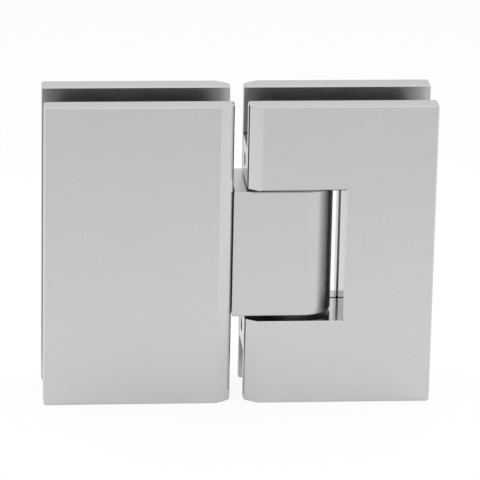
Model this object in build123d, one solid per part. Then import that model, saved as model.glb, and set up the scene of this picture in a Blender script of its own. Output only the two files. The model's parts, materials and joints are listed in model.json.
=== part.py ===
from build123d import *
import os

# A double-acting shower hinge that joins two glass panels.
# Millimetres. Origin at the middle of the hinge: +X across the leaves towards the door leaf,
# +Y through the glass towards the back, +Z up along the pivot.

# Leaves
leaf_width = 54.0
leaf_height = 90.0
leaf_gap = 4.0
plate_thickness = 6.0
glass_thickness = 10.0
gasket_thickness = 2.0
clamp_gap = 1.0
edge_break = 0.45
notch_rim = 0.35

# Slightly rounded bevel down the inner edge of each plate
bevel_width = 4.0
bevel_depth = 2.65
bevel_bulge = 0.08
bevel_lip = 0.35

# Pivot block and the tongue that holds it between the fixed leaf's plates
block_height = 37.8
block_recess = 2.0
block_end_gap = 0.2
block_edge_break = 0.3
tongue_length = 34.0
pivot_offset = 14.6
nose_reach = 10.8
nose_corner_radius = 8.8
nose_corner_share = 0.95
nose_clearance = 2.8
thrust_gap = 0.9

# Lugs of the door leaf and the web that joins them
lug_height = 11.0
web_width = 14.0
web_gap = 6.0

# Gaskets
gasket_inset = 5.0
gasket_relief = 1.0
gasket_corner_radius = 2.0
gasket_corner_share = 0.4

# Pivot pin, bushes and thrust washers
pin_diameter = 9.0
pin_setback = 0.5
pin_end_break = 0.6
pin_across_flats = 7.0
pin_spot_depth = 0.5
pin_spot_margin = 0.5
pin_ledge_clearance = 0.3
running_clearance = 0.04
fixed_clearance = 0.02
bush_wall = 1.5
bush_ledge = 0.5
washer_width = 3.0
washer_play = 0.05

# Spring leaves that press on the pin's flats
spring_thickness = 1.2
spring_height = 18.0
spring_reach = 4.8
spring_end_clearance = 0.25
spring_flex_room = 1.3
spring_step = 3.0
spring_anchor_length = 16.0
spring_anchor_depth = 4.0
anchor_pin_diameter = 3.0
anchor_pin_spacing = 8.0
anchor_pin_end_gap = 0.2

# Countersunk clamp screws
screw_diameter = 6.0
screw_head_diameter = 11.5
screw_head_rim = 0.5
screw_head_sink = 0.25
screw_socket_flats = 4.0
screw_socket_depth = 2.6
screw_tip_break = 0.8
screw_hole_clearance = 0.25
screw_thread_clearance = 0.05
screw_tip_wall = 2.0
screw_tip_room = 0.5
tongue_screw_margin = 8.0

# Set screws that lock the pin in the lugs
set_screw_diameter = 4.2
set_screw_recess = 2.2
set_screw_socket_flats = 2.0
set_screw_socket_depth = 2.4
set_screw_end_break = 0.5

# Planes and places that follow from the sizes above
slot = glass_thickness + 2 * gasket_thickness
thickness = slot + 2 * plate_thickness
front_y = -thickness / 2
inner_y = -slot / 2
boss_back_y = slot / 2 - clamp_gap
web_back_y = slot / 2 - web_gap
inner_x = leaf_gap / 2
outer_x = inner_x + leaf_width
leaf_top = leaf_height / 2
pivot_x = inner_x + pivot_offset
block_back_y = thickness / 2 - block_recess
block_top = block_height / 2
block_end_x = -inner_x + block_end_gap
tongue_x = -inner_x - tongue_length
notch_top = block_top + thrust_gap
nose_x = pivot_x + nose_reach
notch_x = nose_x + nose_clearance
lug_top = notch_top + lug_height
web_x = notch_x + web_width
pin_radius = pin_diameter / 2
pin_top = lug_top - pin_setback
spring_y = pin_across_flats / 2 + fixed_clearance
spring_back_y = spring_y + spring_thickness
spring_top = spring_height / 2
spring_tip_x = pivot_x + spring_reach
spring_anchor_x = -inner_x - spring_anchor_depth
spring_end_x = spring_anchor_x - spring_anchor_length
cavity_top = spring_top + spring_end_clearance
bush_radius = pin_radius + running_clearance + bush_wall
bush_bottom = cavity_top + bush_ledge
anchor_pin_x = spring_end_x + spring_anchor_length / 2
set_screw_z = (notch_top + lug_top) / 2
set_screw_radius = set_screw_diameter / 2
set_screw_seat_x = pivot_x - pin_radius + pin_spot_depth
screw_radius = screw_diameter / 2
screw_head_radius = screw_head_diameter / 2
screw_z = (cavity_top + block_top) / 2
left_screw_x = tongue_x + tongue_screw_margin
right_screw_x = (notch_x + web_x) / 2
screw_face_y = thickness / 2 - screw_head_sink
thread_end_y = front_y + screw_tip_wall
screw_length = screw_face_y - thread_end_y - screw_tip_room

# How far a cut runs past the faces it goes through, and the width of a point in a comparison
overrun = 1.0
tiny = 0.001


def bar(x0, x1, y0, y1, z0, z1):
    """A box given by its lowest and highest corners."""
    return Pos((x0 + x1) / 2, (y0 + y1) / 2, (z0 + z1) / 2) * Box(x1 - x0, y1 - y0, z1 - z0)


def rod_along_x(x0, x1, y, z, radius):
    """A round bar along X."""
    return Pos((x0 + x1) / 2, y, z) * Rot(Y=90) * Cylinder(radius, x1 - x0)


def rod_along_y(x, y0, y1, z, radius):
    """A round bar along Y."""
    return Pos(x, (y0 + y1) / 2, z) * Rot(X=90) * Cylinder(radius, y1 - y0)


def rod_along_z(x, y, z0, z1, radius):
    """A round bar along Z."""
    return Pos(x, y, (z0 + z1) / 2) * Cylinder(radius, z1 - z0)


def hexagon_bar(across_flats, length):
    """A hexagonal bar that runs from the origin down -Z."""
    return extrude(RegularPolygon(across_flats / 2, 6, major_radius=False), amount=-length)


def to_left(shape):
    """Left to right mirror image."""
    return mirror(shape, Plane.YZ)


def to_back(shape):
    """Front to back mirror image."""
    return mirror(shape, Plane.XZ)


def and_below(shape):
    """The shape with its mirror image below mid-height."""
    return [shape, mirror(shape, Plane.XY)]


def cut(shape, tools):
    """The shape with each tool taken out of it."""
    for tool in tools:
        shape = shape - tool
    return shape


def plate_section():
    """Section of the door leaf's front plate, seen from above, with the rounded bevel on its inner edge."""
    corner = Vector(inner_x, front_y + bevel_depth)
    bevel_start = Vector(inner_x + bevel_width, front_y)
    slope = (bevel_start - corner).normalized()
    outwards = Vector(slope.Y, -slope.X)
    bevel_end = corner + slope * bevel_lip
    lip_end = corner + Vector(0, bevel_lip)
    crown = (bevel_end + bevel_start) / 2 + outwards * bevel_bulge
    edge = Polyline((inner_x, inner_y), lip_end, bevel_end)
    bevel = ThreePointArc(bevel_end, crown, bevel_start)
    break_start = (outer_x - edge_break, front_y)
    break_end = (outer_x, front_y + edge_break)
    sides = Polyline(bevel_start, break_start, break_end, (outer_x, inner_y), (inner_x, inner_y))
    return make_face(Curve() + [edge, bevel, sides])


def notch_cut():
    """The room for the pivot block in the door leaf's front plate, with a broken rim."""
    left = inner_x - overrun
    room = bar(left, notch_x, front_y - overrun, overrun, -notch_top, notch_top)
    rim_plane = Plane(origin=((left + notch_x) / 2, front_y, 0), x_dir=(1, 0, 0), z_dir=(0, 1, 0))
    rim_mouth = rim_plane * Rectangle(notch_x - left + 2 * notch_rim, 2 * (notch_top + notch_rim))
    return room + extrude(rim_mouth, amount=notch_rim, taper=45)


def front_plate(notched):
    """A cover plate in the door leaf's place, with or without the notch for the pivot block."""
    section = plate_section()
    straight_top = leaf_top - edge_break
    plate = extrude(section, amount=straight_top, both=True)
    broken_end = extrude(Pos(0, 0, straight_top) * section, amount=edge_break, taper=45)
    for end in and_below(broken_end):
        plate = plate + end
    return plate - notch_cut() if notched else plate


def screw_hole(x):
    """Countersunk holes through a back plate for one leaf's pair of clamp screws."""
    hole_radius = screw_radius + screw_hole_clearance
    mouth_radius = screw_head_radius + screw_hole_clearance
    cone_top = screw_face_y - screw_head_rim
    cone_height = mouth_radius - hole_radius
    bore = rod_along_y(x, slot / 2 - overrun, cone_top, screw_z, hole_radius)
    mouth = rod_along_y(x, cone_top, thickness / 2 + overrun, screw_z, mouth_radius)
    cone_place = Pos(x, cone_top - cone_height / 2, screw_z) * Rot(X=-90)
    cone = cone_place * Cone(hole_radius, mouth_radius, cone_height)
    return and_below(bore + mouth + cone)


def tapped_hole(x, mouth_y):
    """Blind tapped holes that end inside a front plate, for one leaf's pair of clamp screws."""
    return and_below(rod_along_y(x, thread_end_y, mouth_y, screw_z, screw_radius + screw_thread_clearance))


def clamp_screws(x):
    """One leaf's pair of countersunk screws, heads towards the back."""
    cone_height = screw_head_radius - screw_radius
    rim = Pos(0, 0, -screw_head_rim / 2) * Cylinder(screw_head_radius, screw_head_rim)
    cone = Pos(0, 0, -screw_head_rim - cone_height / 2) * Cone(screw_radius, screw_head_radius, cone_height)
    shank = Pos(0, 0, -screw_length / 2) * Cylinder(screw_radius, screw_length)
    shank = chamfer(shank.edges().sort_by(Axis.Z)[0], screw_tip_break)
    screw = rim + cone + shank - hexagon_bar(screw_socket_flats, screw_socket_depth)
    return and_below(Pos(x, screw_face_y, screw_z) * Rot(X=-90) * screw)


def door_boss():
    """The two lugs that hold the pin's ends and the thinner web that joins them beside the notch."""
    block = bar(inner_x, web_x, inner_y, boss_back_y, -lug_top, lug_top)
    notch_room = bar(inner_x - overrun, notch_x, inner_y - overrun, slot, -notch_top, notch_top)
    web_relief = bar(notch_x - overrun, web_x + overrun, web_back_y, slot, -notch_top, notch_top)
    return cut(block, [notch_room, web_relief])


def right_front_plate():
    """The door leaf's cover plate, cast in one with its lugs."""
    plate = front_plate(notched=True) + door_boss()
    pin_hole = rod_along_z(pivot_x, 0, notch_top - overrun, lug_top + overrun, pin_radius + fixed_clearance)
    set_hole_radius = set_screw_radius + screw_thread_clearance
    set_hole = rod_along_x(inner_x - overrun, pivot_x, 0, set_screw_z, set_hole_radius)
    holes = and_below(pin_hole) + and_below(set_hole) + tapped_hole(right_screw_x, boss_back_y + overrun)
    return cut(plate, holes)


def right_back_plate():
    return cut(to_back(front_plate(notched=True)), screw_hole(right_screw_x))


def left_front_plate():
    return cut(to_left(front_plate(notched=False)), tapped_hole(left_screw_x, inner_y + overrun))


def left_back_plate():
    return cut(to_back(to_left(front_plate(notched=False))), screw_hole(left_screw_x))


def gasket(relief_x, relief_top):
    """A pad on the inner face of the door leaf's front plate, open towards the pivot around the boss."""
    left = inner_x + gasket_inset
    right = outer_x - gasket_inset
    top = leaf_top - gasket_inset
    pad_back = inner_y + gasket_thickness
    pad = bar(left, right, inner_y, pad_back, -top, top)
    pad = pad - bar(left - overrun, relief_x, inner_y - overrun, pad_back + overrun, -relief_top, relief_top)
    narrowest_strip = min(right - relief_x, top - relief_top)
    corner_radius = min(gasket_corner_radius, gasket_corner_share * narrowest_strip)
    return fillet(pad.edges().filter_by(Axis.Y), corner_radius)


def right_gasket():
    return gasket(web_x + gasket_relief, lug_top + gasket_relief)


def left_gasket():
    return to_left(gasket(-tongue_x + gasket_relief, block_top + gasket_relief))


def pivot_block():
    """The round-nosed block that carries the pin, in one with the tongue between the fixed leaf's plates."""
    block = bar(block_end_x, nose_x, -block_back_y, block_back_y, -block_top, block_top)
    nose_corners = block.edges().filter_by(Axis.Z).sort_by(Axis.X)[-2:]
    block = fillet(nose_corners, min(nose_corner_radius, nose_corner_share * block_back_y))
    ends = [edge for edge in block.edges() if abs(abs(edge.center().Z) - block_top) < tiny]
    block = chamfer(ends, block_edge_break)
    block = block + bar(tongue_x, block_end_x, inner_y, boss_back_y, -block_top, block_top)
    channel_y = spring_back_y + fixed_clearance
    flex_y = spring_back_y + spring_flex_room
    flex_x = block_end_x + spring_step
    cavity_end_x = spring_tip_x + spring_end_clearance
    channel = bar(tongue_x - overrun, flex_x, -channel_y, channel_y, -cavity_top, cavity_top)
    cavity = bar(flex_x - overrun, cavity_end_x, -flex_y, flex_y, -cavity_top, cavity_top)
    pin_hole = rod_along_z(pivot_x, 0, -block_top, block_top, pin_radius + pin_ledge_clearance)
    seat = rod_along_z(pivot_x, 0, bush_bottom, block_top + overrun, bush_radius + fixed_clearance)
    screw_way = rod_along_y(left_screw_x, inner_y - overrun, slot, screw_z, screw_radius + screw_hole_clearance)
    return cut(block, [channel, cavity, pin_hole] + and_below(seat) + and_below(screw_way) + anchor_pin_holes())


def upper_bush():
    sleeve = rod_along_z(pivot_x, 0, bush_bottom, block_top, bush_radius)
    return sleeve - rod_along_z(pivot_x, 0, 0, leaf_top, pin_radius + running_clearance)


def upper_thrust_washer():
    inside = pin_radius + running_clearance
    disc = rod_along_z(pivot_x, 0, block_top + washer_play, notch_top - washer_play, inside + washer_width)
    return disc - rod_along_z(pivot_x, 0, 0, leaf_top, inside)


def pivot_pin():
    """The pin, squared where the spring leaves press on it and spotted where the set screws bear."""
    pin = rod_along_z(pivot_x, 0, -pin_top, pin_top, pin_radius)
    pin = chamfer(pin.edges().filter_by(GeomType.CIRCLE), pin_end_break)
    half = pin_across_flats / 2
    sleeve = rod_along_z(pivot_x, 0, -cavity_top, cavity_top, pin_diameter)
    square = bar(pivot_x - half, pivot_x + half, -half, half, -leaf_top, leaf_top)
    spot_half = set_screw_radius + pin_spot_margin
    spot = bar(inner_x, set_screw_seat_x, -pin_diameter, pin_diameter,
               set_screw_z - spot_half, set_screw_z + spot_half)
    return cut(pin, [sleeve - square] + and_below(spot))


def pin_set_screws():
    """The two screws in the lugs that lock the pin to the door leaf."""
    length = set_screw_seat_x - inner_x - set_screw_recess
    screw = Pos(0, 0, -length / 2) * Cylinder(set_screw_radius, length)
    screw = chamfer(screw.edges().filter_by(GeomType.CIRCLE), set_screw_end_break)
    screw = screw - hexagon_bar(set_screw_socket_flats, set_screw_socket_depth)
    return and_below(Pos(inner_x + set_screw_recess, 0, set_screw_z) * Rot(Y=-90) * screw)


def anchor_pin_places():
    return [anchor_pin_x - anchor_pin_spacing / 2, anchor_pin_x + anchor_pin_spacing / 2]


def anchor_pin_holes():
    radius = anchor_pin_diameter / 2 + fixed_clearance
    return [rod_along_y(x, inner_y - overrun, slot, 0, radius) for x in anchor_pin_places()]


def spring_anchor_pins():
    """The two cross pins that hold the spring leaves and their spacer in the tongue."""
    start = inner_y + anchor_pin_end_gap
    end = boss_back_y - anchor_pin_end_gap
    return [rod_along_y(x, start, end, 0, anchor_pin_diameter / 2) for x in anchor_pin_places()]


def rear_spring_leaf():
    strip = bar(spring_end_x, spring_tip_x, spring_y, spring_back_y, -spring_top, spring_top)
    return cut(strip, anchor_pin_holes())


def spring_spacer():
    half = spring_y - fixed_clearance
    spacer = bar(spring_end_x, spring_anchor_x, -half, half, -spring_top, spring_top)
    return cut(spacer, anchor_pin_holes())


pieces = {
    "left_front_plate": [left_front_plate()],
    "left_back_plate": [left_back_plate()],
    "left_front_gasket": [left_gasket()],
    "left_back_gasket": [to_back(left_gasket())],
    "left_clamp_screws": clamp_screws(left_screw_x),
    "pivot_block": [pivot_block()],
    "upper_bush": [upper_bush()],
    "lower_bush": [mirror(upper_bush(), Plane.XY)],
    "front_spring_leaf": [to_back(rear_spring_leaf())],
    "rear_spring_leaf": [rear_spring_leaf()],
    "spring_spacer": [spring_spacer()],
    "spring_anchor_pins": spring_anchor_pins(),
    "right_front_plate": [right_front_plate()],
    "right_back_plate": [right_back_plate()],
    "right_front_gasket": [right_gasket()],
    "right_back_gasket": [to_back(right_gasket())],
    "right_clamp_screws": clamp_screws(right_screw_x),
    "pivot_pin": [pivot_pin()],
    "pin_set_screws": pin_set_screws(),
    "upper_thrust_washer": [upper_thrust_washer()],
    "lower_thrust_washer": [mirror(upper_thrust_washer(), Plane.XY)],
}

os.makedirs("parts", exist_ok=True)
for name, shapes in pieces.items():
    solids = [solid for shape in shapes for solid in shape.solids()]
    piece = solids[0] if len(solids) == 1 else Compound(children=solids)
    export_step(piece, f"parts/{name}.step")
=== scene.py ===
import json
import math

import bmesh
import bpy
from mathutils import Matrix, Vector


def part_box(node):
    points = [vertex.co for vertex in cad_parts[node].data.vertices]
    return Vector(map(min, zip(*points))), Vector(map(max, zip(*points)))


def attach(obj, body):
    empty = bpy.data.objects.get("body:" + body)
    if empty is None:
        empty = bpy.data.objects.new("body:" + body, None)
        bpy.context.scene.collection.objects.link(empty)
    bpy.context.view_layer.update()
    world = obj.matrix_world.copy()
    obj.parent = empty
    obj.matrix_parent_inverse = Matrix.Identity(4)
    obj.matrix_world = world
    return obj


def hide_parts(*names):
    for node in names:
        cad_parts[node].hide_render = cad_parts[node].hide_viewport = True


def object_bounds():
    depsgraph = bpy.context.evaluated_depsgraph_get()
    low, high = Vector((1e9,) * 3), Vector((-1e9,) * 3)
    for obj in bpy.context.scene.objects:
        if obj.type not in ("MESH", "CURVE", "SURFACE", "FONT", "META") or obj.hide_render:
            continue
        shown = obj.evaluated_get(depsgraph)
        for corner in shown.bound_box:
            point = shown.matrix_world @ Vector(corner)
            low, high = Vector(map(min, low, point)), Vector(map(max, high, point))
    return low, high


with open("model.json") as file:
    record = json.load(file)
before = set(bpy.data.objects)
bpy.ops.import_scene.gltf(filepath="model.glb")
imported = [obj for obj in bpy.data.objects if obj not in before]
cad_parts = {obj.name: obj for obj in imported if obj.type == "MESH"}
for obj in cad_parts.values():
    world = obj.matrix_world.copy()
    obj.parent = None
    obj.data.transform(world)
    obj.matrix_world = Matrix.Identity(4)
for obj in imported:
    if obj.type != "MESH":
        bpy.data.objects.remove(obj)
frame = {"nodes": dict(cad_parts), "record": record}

cad_low, cad_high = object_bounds()
nodes = frame["nodes"]

# The view: the camera's tilt, turn, roll and lens, and how far it stands from the front faces
view_pitch = math.radians(19.36)
view_yaw = math.radians(5.0)
view_roll = math.radians(-1.18)
view_distance = 1.1
view_aim_right = 0.00005
view_aim_up = 0.00491
view_lens_mm = 288.5
sensor_mm = 36.0

# Room: the floor's size and glow, and the room's strength as light and as it is seen
floor_level = cad_low.z
floor_half_size = 3.0
floor_colour = (0.9, 0.9, 0.9, 1.0)
floor_glow_to_camera = 0.93
floor_glow_to_reflections = 0.6
room_colour = (1.0, 1.0, 1.0, 1.0)
room_light = 0.35
room_shown = 1.0

# Lamps: a large one above and behind, and one over the floor on each side
back_lamp_place = (0.0, 0.35, 0.8)
back_lamp_target = (0.0, 0.15, 0.0)
back_lamp_size = 0.8
back_lamp_radiance = 1.0
side_lamp_x = 0.22
side_lamp_y = 0.02
side_lamp_z = 0.26
side_lamp_size = 0.25
side_lamp_radiance = 3.6

# Colours, each a dark and a light end between which the surface varies
chrome_grey = ((0.605, 0.605, 0.61), (0.635, 0.635, 0.635))
steel_grey = ((0.45, 0.45, 0.46), (0.56, 0.56, 0.57))
spring_grey = ((0.33, 0.34, 0.37), (0.44, 0.45, 0.48))
oxide_black = ((0.02, 0.02, 0.022), (0.05, 0.05, 0.055))
rubber_black = ((0.012, 0.012, 0.013), (0.022, 0.022, 0.023))
brass_yellow = ((0.55, 0.38, 0.14), (0.66, 0.47, 0.2))
acetal_white = ((0.6, 0.6, 0.57), (0.68, 0.68, 0.65))
chrome_tint_at_low_angles = (0.79, 0.79, 0.79, 1.0)

# Roughness: the range of the steel, and how far the chrome's varies each way
steel_roughness = (0.2, 0.36)
chrome_roughness_spread = 0.02

# Chrome is smooth where the Y part of the normal is below the first value, and satin above the second
satin_from = 0.85
satin_full = 0.95

# How tool marks are drawn out: along X, or round an axis along Y or Z
along_x = (0.02, 1.0, 1.0)
round_y = (0.02, 1.0, 0.02)
round_z = (0.02, 0.02, 1.0)

# Clamp screws: countersunk head with a hexagon socket, and a metric thread up to a plain neck
clamp_radius = 0.003
clamp_rim = 0.0005
clamp_rim_break = 0.00015
clamp_neck = 0.0012
clamp_socket_flats = 0.004
clamp_socket_depth = 0.0026
clamp_tip_break = 0.0008
clamp_pitch = 0.001

# Set screws: a hexagon socket in one end and a thread all the way
set_socket_flats = 0.002
set_socket_depth = 0.0024
set_end_break = 0.0005
set_pitch = 0.0007

# Threads: the depth as a share of the pitch, and where crest and root begin and end along one pitch
thread_depth_share = 0.61
thread_points = [(0.0, 0.0), (1 / 8, 0.0), (7 / 16, 1.0), (11 / 16, 1.0)]
thread_run_out = 0.0008
socket_mouth_break = 0.0002
screw_segments = 48
screw_sharp_angle = math.radians(25.0)
same_point = 1e-7


def new_material(name):
    """An empty node material with its output node and a principled shader."""
    material = bpy.data.materials.new(name)
    material.use_nodes = True
    tree = material.node_tree
    tree.nodes.clear()
    output = tree.nodes.new("ShaderNodeOutputMaterial")
    shader = tree.nodes.new("ShaderNodeBsdfPrincipled")
    tree.links.new(shader.outputs["BSDF"], output.inputs["Surface"])
    return material, tree, shader


def new_metal(name):
    """A node material whose shader is metal."""
    material, tree, shader = new_material(name)
    shader.inputs["Metallic"].default_value = 1.0
    return material, tree, shader


def noise(tree, scale, detail=2.0, stretch=(1.0, 1.0, 1.0)):
    """A noise texture on object coordinates: scale in cycles a metre, times the stretch along each axis."""
    place = tree.nodes.new("ShaderNodeTexCoord")
    mapping = tree.nodes.new("ShaderNodeMapping")
    mapping.inputs["Scale"].default_value = stretch
    texture = tree.nodes.new("ShaderNodeTexNoise")
    texture.inputs["Scale"].default_value = scale
    texture.inputs["Detail"].default_value = detail
    tree.links.new(place.outputs["Object"], mapping.inputs["Vector"])
    tree.links.new(mapping.outputs["Vector"], texture.inputs["Vector"])
    return texture.outputs["Fac"]


def noise_line(tree, value, scale):
    """A noise along one value, such as a radius; scale is in cycles a metre."""
    texture = tree.nodes.new("ShaderNodeTexNoise")
    texture.noise_dimensions = "1D"
    texture.inputs["Scale"].default_value = scale
    tree.links.new(value, texture.inputs["W"])
    return texture.outputs["Fac"]


def remap(tree, value, low, high):
    """The value, from 0 to 1, mapped to run from low to high."""
    node = tree.nodes.new("ShaderNodeMapRange")
    node.inputs["To Min"].default_value = low
    node.inputs["To Max"].default_value = high
    tree.links.new(value, node.inputs["Value"])
    return node.outputs["Result"]


def step_between(tree, value, low, high):
    """0 below low, 1 above high, and a smooth step between."""
    node = tree.nodes.new("ShaderNodeMapRange")
    node.interpolation_type = "SMOOTHSTEP"
    node.inputs["From Min"].default_value = low
    node.inputs["From Max"].default_value = high
    tree.links.new(value, node.inputs["Value"])
    return node.outputs["Result"]


def ramp(tree, value, dark, light):
    """A colour between dark and light."""
    node = tree.nodes.new("ShaderNodeValToRGB")
    node.color_ramp.elements[0].color = (*dark, 1.0)
    node.color_ramp.elements[1].color = (*light, 1.0)
    tree.links.new(value, node.inputs["Fac"])
    return node.outputs["Color"]


def bump(tree, shader, height, strength, distance):
    """Adds a bump of that height field to the shader."""
    node = tree.nodes.new("ShaderNodeBump")
    node.inputs["Strength"].default_value = strength
    node.inputs["Distance"].default_value = distance
    tree.links.new(height, node.inputs["Height"])
    tree.links.new(node.outputs["Normal"], shader.inputs["Normal"])


def axis_value(tree, output, axis):
    """One axis of the object's own coordinates or normal."""
    place = tree.nodes.new("ShaderNodeTexCoord")
    split = tree.nodes.new("ShaderNodeSeparateXYZ")
    tree.links.new(place.outputs[output], split.inputs["Vector"])
    return split.outputs[axis]


def math_node(tree, operation, first, second=0.0):
    """A math node of one or two inputs, each a socket or a number."""
    node = tree.nodes.new("ShaderNodeMath")
    node.operation = operation
    for socket, value in zip(node.inputs, (first, second)):
        if isinstance(value, (int, float)):
            socket.default_value = value
        else:
            tree.links.new(value, socket)
    return node.outputs["Value"]


def satin_chrome(name, face_roughness, edge_roughness):
    """Satin chrome plate: a fine even grain on the faces and smoother edges."""
    material, tree, shader = new_metal(name)
    shader.inputs["Specular Tint"].default_value = chrome_tint_at_low_angles
    cloud = noise(tree, scale=90.0, detail=3.0)
    grain = noise(tree, scale=9000.0, detail=2.0)
    tree.links.new(ramp(tree, cloud, *chrome_grey), shader.inputs["Base Color"])
    along_y = math_node(tree, "ABSOLUTE", axis_value(tree, "Normal", "Y"))
    facing = step_between(tree, along_y, satin_from, satin_full)
    base = remap(tree, facing, edge_roughness, face_roughness)
    uneven = remap(tree, cloud, -chrome_roughness_spread, chrome_roughness_spread)
    tree.links.new(math_node(tree, "ADD", base, uneven), shader.inputs["Roughness"])
    bump(tree, shader, grain, strength=0.015, distance=0.00002)
    return material


def turned_metal(name, colours, roughness, stretch):
    """A machined metal whose tool marks are fine lines, drawn out along the axes where stretch is small."""
    material, tree, shader = new_metal(name)
    marks = noise(tree, scale=6000.0, detail=3.0, stretch=stretch)
    cloud = noise(tree, scale=300.0, detail=3.0)
    tree.links.new(ramp(tree, cloud, *colours), shader.inputs["Base Color"])
    tree.links.new(remap(tree, marks, *roughness), shader.inputs["Roughness"])
    bump(tree, shader, marks, strength=0.12, distance=0.00002)
    return material


def screw_steel(name, axis_x, axis_z):
    """Stainless screws with the rings of a lathe around each screw's axis, which runs along Y."""
    material, tree, shader = new_metal(name)
    across = math_node(tree, "SUBTRACT", axis_value(tree, "Object", "X"), axis_x)
    off_middle = math_node(tree, "ABSOLUTE", axis_value(tree, "Object", "Z"))
    along = math_node(tree, "SUBTRACT", off_middle, axis_z)
    across_square = math_node(tree, "POWER", across, 2.0)
    along_square = math_node(tree, "POWER", along, 2.0)
    radius = math_node(tree, "SQRT", math_node(tree, "ADD", across_square, along_square))
    rings = noise_line(tree, radius, scale=7000.0)
    cloud = noise(tree, scale=500.0, detail=3.0)
    tree.links.new(ramp(tree, cloud, *steel_grey), shader.inputs["Base Color"])
    tree.links.new(remap(tree, rings, *steel_roughness), shader.inputs["Roughness"])
    bump(tree, shader, rings, strength=0.15, distance=0.00002)
    return material


def soft_plastic(name, colours, roughness):
    """Moulded rubber or plastic with a fine matt grain over faint flow marks."""
    material, tree, shader = new_material(name)
    cloud = noise(tree, scale=250.0, detail=4.0)
    grain = noise(tree, scale=3500.0, detail=2.0)
    tree.links.new(ramp(tree, cloud, *colours), shader.inputs["Base Color"])
    tree.links.new(remap(tree, grain, *roughness), shader.inputs["Roughness"])
    bump(tree, shader, grain, strength=0.25, distance=0.00005)
    return material


def screw_places(node_name):
    """A pair of screws' axis across X, its height above mid-height, head radius, face and tip along Y."""
    low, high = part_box(node_name)
    radius = (high.x - low.x) / 2
    return (low.x + high.x) / 2, high.z - radius, radius, high.y, low.y


left_axis_x, clamp_axis_z, clamp_head_radius, clamp_face_y, clamp_tip_y = screw_places("left_clamp_screws")
right_axis_x = screw_places("right_clamp_screws")[0]

materials = {
    "satin_chrome": satin_chrome("satin_chrome", face_roughness=0.27, edge_roughness=0.13),
    "gasket": soft_plastic("gasket", rubber_black, roughness=(0.55, 0.75)),
    "stainless": turned_metal("stainless", steel_grey, steel_roughness, round_z),
    "dark_steel": turned_metal("dark_steel", oxide_black, (0.35, 0.5), along_x),
    "spring_steel": turned_metal("spring_steel", spring_grey, (0.25, 0.4), along_x),
    "brass": turned_metal("brass", brass_yellow, (0.22, 0.4), along_x),
    "acetal": soft_plastic("acetal", acetal_white, roughness=(0.4, 0.5)),
}

# Pieces whose finish differs from the rest of their slot
finer = {
    "pivot_block": satin_chrome("fine_satin_chrome", face_roughness=0.3, edge_roughness=0.3),
    "left_clamp_screws": screw_steel("left_screw_steel", left_axis_x, clamp_axis_z),
    "right_clamp_screws": screw_steel("right_screw_steel", right_axis_x, clamp_axis_z),
    "spring_anchor_pins": turned_metal("pin_steel", steel_grey, steel_roughness, round_y),
}

for subpart in frame["record"]["subparts"]:
    node = nodes[subpart["node"]]
    node.data.materials.clear()
    node.data.materials.append(finer.get(subpart["node"], materials[subpart["material_slot"]]))


def plain_ring(radius, height):
    """A circle of a turned form, as a radius and a height at each step round the axis."""
    return [(radius, height)] * (screw_segments + 1)


def hexagon_ring(across_flats, height):
    """A hexagon round the axis, with a corner at the start."""
    ring = []
    for step in range(screw_segments + 1):
        off_middle = (2 * math.pi * step / screw_segments) % (math.pi / 3) - math.pi / 6
        ring.append((across_flats / 2 / math.cos(off_middle), height))
    return ring


def thread_rings(radius, pitch, top, tip, tip_break, top_break=0.0):
    """A thread from top down to tip: each ring follows one line of the helix and is held between the two."""
    rings = []
    turns = math.ceil((top - tip) / pitch) + 1
    for turn in range(turns + 1):
        for offset, depth in thread_points:
            ring = []
            for step in range(screw_segments + 1):
                height = top + (step / screw_segments - turn - offset) * pitch
                height = min(max(height, tip), top)
                fade = min(1.0, (top - height) / thread_run_out)
                in_groove = radius - depth * fade * thread_depth_share * pitch
                at_tip = radius - tip_break + height - tip
                at_top = radius - top_break + top - height
                ring.append((min(in_groove, at_tip, at_top), height))
            rings.append(ring)
    return rings


def socket_rings(across_flats, depth):
    """A hexagon socket from its floor up to its broken mouth in the plane of height 0."""
    mouth_radius = across_flats / 2 / math.cos(math.pi / 6) + socket_mouth_break / 2
    floor = [plain_ring(0.0, -depth), hexagon_ring(across_flats, -depth)]
    mouth = [hexagon_ring(across_flats, -socket_mouth_break), plain_ring(mouth_radius, 0.0)]
    return floor + mouth


def clamp_screw_rings(length):
    """A countersunk screw, from its socket over the head and down the thread to the tip."""
    head = clamp_head_radius
    cone_end = -clamp_rim - (head - clamp_radius)
    neck_end = cone_end - clamp_neck
    rim = [(head - clamp_rim_break, 0.0), (head, -clamp_rim_break), (head, -clamp_rim)]
    neck = [(clamp_radius, cone_end), (clamp_radius, neck_end)]
    turned = [plain_ring(radius, height) for radius, height in rim + neck]
    socket = socket_rings(clamp_socket_flats, clamp_socket_depth)
    thread = thread_rings(clamp_radius, clamp_pitch, neck_end, -length, clamp_tip_break)
    return socket + turned + thread + [plain_ring(0.0, -length)]


def set_screw_rings(radius, length):
    """A headless screw, threaded from its socket end to its tip."""
    socket = socket_rings(set_socket_flats, set_socket_depth)
    thread = thread_rings(radius, set_pitch, 0.0, -length, set_end_break, set_end_break)
    return socket + thread + [plain_ring(0.0, -length)]


def add_screw(build, rings, place):
    """Adds one turned form to the mesh: rings round its local Z axis, set in the world by place."""
    rows = []
    for ring in rings:
        row = []
        for step, (radius, height) in enumerate(ring):
            angle = 2 * math.pi * step / screw_segments
            point = Vector((radius * math.cos(angle), radius * math.sin(angle), height))
            row.append(build.verts.new(place @ point))
        rows.append(row)
    for upper, lower in zip(rows, rows[1:]):
        for step in range(screw_segments):
            build.faces.new((upper[step], lower[step], lower[step + 1], upper[step + 1]))


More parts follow.
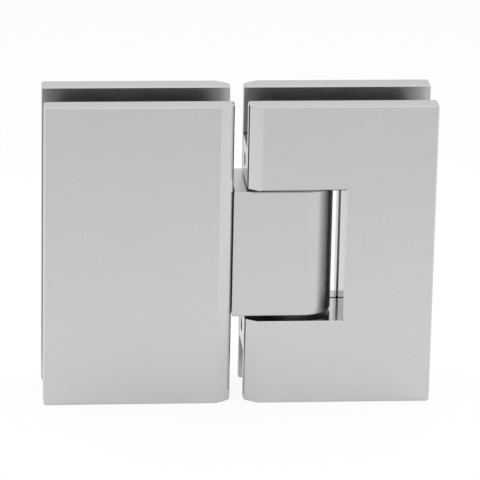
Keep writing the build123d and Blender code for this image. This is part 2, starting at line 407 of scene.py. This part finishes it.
def screw_piece(name, node_name, body, material, rings, places):
    """The screws of one node with their threads, in place of the plain ones."""
    build = bmesh.new()
    for place in places:
        add_screw(build, rings, place)
    bmesh.ops.remove_doubles(build, verts=build.verts[:], dist=same_point)
    bmesh.ops.recalc_face_normals(build, faces=build.faces[:])
    mesh = bpy.data.meshes.new(name)
    build.to_mesh(mesh)
    build.free()
    for face in mesh.polygons:
        face.use_smooth = True
    mesh.set_sharp_from_angle(angle=screw_sharp_angle)
    mesh.materials.append(material)
    piece = bpy.data.objects.new(name, mesh)
    bpy.context.scene.collection.objects.link(piece)
    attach(piece, body)
    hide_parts(node_name)


def above_and_below(x, y, z, turn):
    """The places of a pair of screws, one above mid-height and one below, turned alike."""
    return [Matrix.Translation((x, y, height)) @ turn for height in (z, -z)]


def add_clamp_screws():
    """Both leaves' clamp screws, heads towards the back."""
    face_back = Matrix.Rotation(math.radians(-90.0), 4, "X")
    rings = clamp_screw_rings(clamp_face_y - clamp_tip_y)
    for side, body, axis_x in (("left", "fixed_leaf", left_axis_x), ("right", "door_leaf", right_axis_x)):
        node_name = f"{side}_clamp_screws"
        places = above_and_below(axis_x, clamp_face_y, clamp_axis_z, face_back)
        screw_piece(f"{side}_threaded_screws", node_name, body, finer[node_name], rings, places)


def add_set_screws():
    """The set screws in the lugs, sockets towards the fixed leaf."""
    low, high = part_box("pin_set_screws")
    radius = (high.y - low.y) / 2
    face_left = Matrix.Rotation(math.radians(-90.0), 4, "Y")
    places = above_and_below(low.x, 0.0, high.z - radius, face_left)
    rings = set_screw_rings(radius, high.x - low.x)
    black = materials["dark_steel"]
    screw_piece("threaded_set_screws", "pin_set_screws", "door_leaf", black, rings, places)


def background_rays(tree, to_camera, to_reflections):
    """How much of the white background shows to the camera's rays, and to reflected or transmitted ones."""
    path = tree.nodes.new("ShaderNodeLightPath")
    reflected = math_node(tree, "MAXIMUM", path.outputs["Is Glossy Ray"], path.outputs["Is Transmission Ray"])
    seen = math_node(tree, "MULTIPLY", path.outputs["Is Camera Ray"], to_camera)
    mirrored = math_node(tree, "MULTIPLY", reflected, to_reflections)
    return math_node(tree, "MAXIMUM", seen, mirrored)


def floor_paper():
    """Pale paper that glows white to the camera and keeps part of the shadow that falls on it."""
    material = bpy.data.materials.new("floor_paper")
    material.use_nodes = True
    tree = material.node_tree
    tree.nodes.clear()
    output = tree.nodes.new("ShaderNodeOutputMaterial")
    paper = tree.nodes.new("ShaderNodeBsdfDiffuse")
    paper.inputs["Color"].default_value = floor_colour
    glow = tree.nodes.new("ShaderNodeEmission")
    glow.inputs["Color"].default_value = room_colour
    mix = tree.nodes.new("ShaderNodeMixShader")
    share = background_rays(tree, floor_glow_to_camera, floor_glow_to_reflections)
    tree.links.new(share, mix.inputs["Fac"])
    tree.links.new(paper.outputs["BSDF"], mix.inputs[1])
    tree.links.new(glow.outputs["Emission"], mix.inputs[2])
    tree.links.new(mix.outputs["Shader"], output.inputs["Surface"])
    return material


def add_floor():
    """A wide floor at the hinge's lowest level."""
    half = floor_half_size
    corners = [(x, y, floor_level) for x, y in ((-half, -half), (half, -half), (half, half), (-half, half))]
    mesh = bpy.data.meshes.new("floor")
    mesh.from_pydata(corners, [], [(0, 1, 2, 3)])
    mesh.materials.append(floor_paper())
    floor = bpy.data.objects.new("floor", mesh)
    bpy.context.scene.collection.objects.link(floor)


def add_world():
    """An even white room: one strength as light, another where the camera or a reflection sees it."""
    world = bpy.data.worlds.new("studio")
    bpy.context.scene.world = world
    world.use_nodes = True
    tree = world.node_tree
    tree.nodes.clear()
    output = tree.nodes.new("ShaderNodeOutputWorld")
    background = tree.nodes.new("ShaderNodeBackground")
    background.inputs["Color"].default_value = room_colour
    strength = remap(tree, background_rays(tree, 1.0, 1.0), room_light, room_shown)
    tree.links.new(strength, background.inputs["Strength"])
    tree.links.new(background.outputs["Background"], output.inputs["Surface"])


def add_softbox(name, place, target, size, radiance):
    """A square area lamp at place that faces the target; the metal mirrors the room and not the lamp."""
    lamp = bpy.data.lights.new(name, "AREA")
    lamp.shape = "SQUARE"
    lamp.size = size
    lamp.energy = radiance * math.pi * size * size
    box = bpy.data.objects.new(name, lamp)
    bpy.context.scene.collection.objects.link(box)
    box.location = place
    box.rotation_euler = (Vector(target) - Vector(place)).to_track_quat("-Z", "Y").to_euler()
    box.visible_camera = False
    box.visible_glossy = False


def add_lamps():
    """The lamp behind, and the two that light the floor at the sides."""
    add_softbox("back", back_lamp_place, back_lamp_target, back_lamp_size, back_lamp_radiance)
    for side in (-1, 1):
        place = (side * side_lamp_x, side_lamp_y, side_lamp_z)
        under = (side * side_lamp_x, side_lamp_y, floor_level)
        add_softbox(f"side_{side}", place, under, side_lamp_size, side_lamp_radiance)


def add_camera():
    """The camera at the photo's angle: turned by yaw, tilted by pitch, rolled about its own axis."""
    sin_yaw, cos_yaw = math.sin(view_yaw), math.cos(view_yaw)
    sin_pitch, cos_pitch = math.sin(view_pitch), math.cos(view_pitch)
    level_right = Vector((cos_yaw, -sin_yaw, 0.0))
    level_up = Vector((sin_yaw * sin_pitch, cos_yaw * sin_pitch, cos_pitch))
    forward = Vector((sin_yaw * cos_pitch, cos_yaw * cos_pitch, -sin_pitch))
    right = level_right * math.cos(view_roll) - level_up * math.sin(view_roll)
    up = level_right * math.sin(view_roll) + level_up * math.cos(view_roll)
    middle_of_front = Vector((0.0, cad_low.y, 0.0))
    place = middle_of_front + right * view_aim_right + up * view_aim_up - forward * view_distance
    lens = bpy.data.cameras.new("camera")
    lens.sensor_width = sensor_mm
    lens.lens = view_lens_mm
    camera = bpy.data.objects.new("camera", lens)
    bpy.context.scene.collection.objects.link(camera)
    turn = Matrix((right, up, -forward)).transposed()
    camera.matrix_world = Matrix.Translation(place) @ turn.to_4x4()
    bpy.context.scene.camera = camera


add_clamp_screws()
add_set_screws()
add_floor()
add_world()
add_lamps()
add_camera()
bpy.context.scene.view_settings.view_transform = "Standard"
